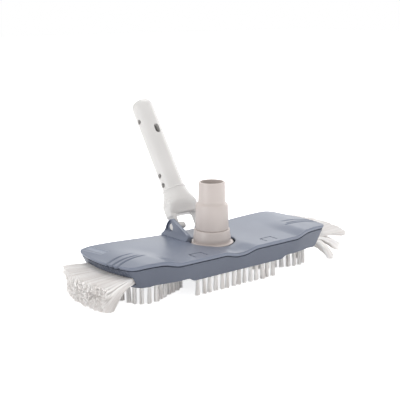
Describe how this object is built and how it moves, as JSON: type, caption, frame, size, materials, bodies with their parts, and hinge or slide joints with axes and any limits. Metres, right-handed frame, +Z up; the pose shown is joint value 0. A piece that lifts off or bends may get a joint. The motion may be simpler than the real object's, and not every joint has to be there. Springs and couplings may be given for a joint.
{
  "type": "pool vacuum head",
  "caption": "Wide low vacuum head with brush rows beneath, fanned side brushes, an upright swivelling stepped hose spigot and a leaning pole handle on a fork pivot.",
  "frame": {"origin": "on the pool floor under the axis of the hose spigot, in the middle of the suction throat", "axes": "+X along the head's long side to its right end, +Y to the back where the handle pivots and leans, +Z up along the hose spigot"},
  "size_m": [0.388, 0.2116, 0.2053],
  "materials": {
    "cover_plastic": "satin moulded blue-grey plastic",
    "base_plastic": "satin moulded dark blue-grey plastic",
    "plate_plastic": "smooth bare plastic plate",
    "strip_plastic": "moulded off-white plastic",
    "bristle_nylon": "white nylon filament",
    "ballast_iron": "rough cast",
    "screw_steel": "plain stainless",
    "collar_plastic": "moulded off-white plastic",
    "seal_rubber": "smooth black rubber",
    "connector_plastic": "moulded warm off-white plastic",
    "handle_plastic": "moulded off-white plastic"
  },
  "bodies": {
    "head": {"top_cover": "cover_plastic", "base_shell": "base_plastic", "nameplate": "plate_plastic", "front_left_brush_strip": "strip_plastic", "front_middle_brush_strip": "strip_plastic", "front_right_brush_strip": "strip_plastic", "back_left_brush_strip": "strip_plastic", "back_middle_brush_strip": "strip_plastic", "back_right_brush_strip": "strip_plastic", "front_left_bristles": "bristle_nylon", "front_middle_bristles": "bristle_nylon", "front_right_bristles": "bristle_nylon", "back_left_bristles": "bristle_nylon", "back_middle_bristles": "bristle_nylon", "back_right_bristles": "bristle_nylon", "left_side_bristles": "bristle_nylon", "right_side_bristles": "bristle_nylon", "left_side_brush_holder": "strip_plastic", "right_side_brush_holder": "strip_plastic", "left_ballast": "ballast_iron", "right_ballast": "ballast_iron", "casing_screws": "screw_steel", "swivel_collar": "collar_plastic", "throat_seal": "seal_rubber", "seat_ring": "connector_plastic"},
    "connector": {"hose_connector": "connector_plastic", "retaining_ring": "connector_plastic"},
    "handle": {"handle_fork": "handle_plastic", "handle_tube": "handle_plastic", "left_pivot_pin": "handle_plastic", "right_pivot_pin": "handle_plastic"}
  },
  "joints": [
    {"name": "handle_pivot", "type": "hinge", "parent": "head", "child": "handle", "pos_m": [0, 0.049, 0.056], "axis": [1, 0, 0], "range_deg": [-44, 39]},
    {"name": "hose_swivel", "type": "hinge", "parent": "head", "child": "connector", "pos_m": [0, 0, 0.05], "axis": [0, 0, 1], "continuous": true}
  ]
}
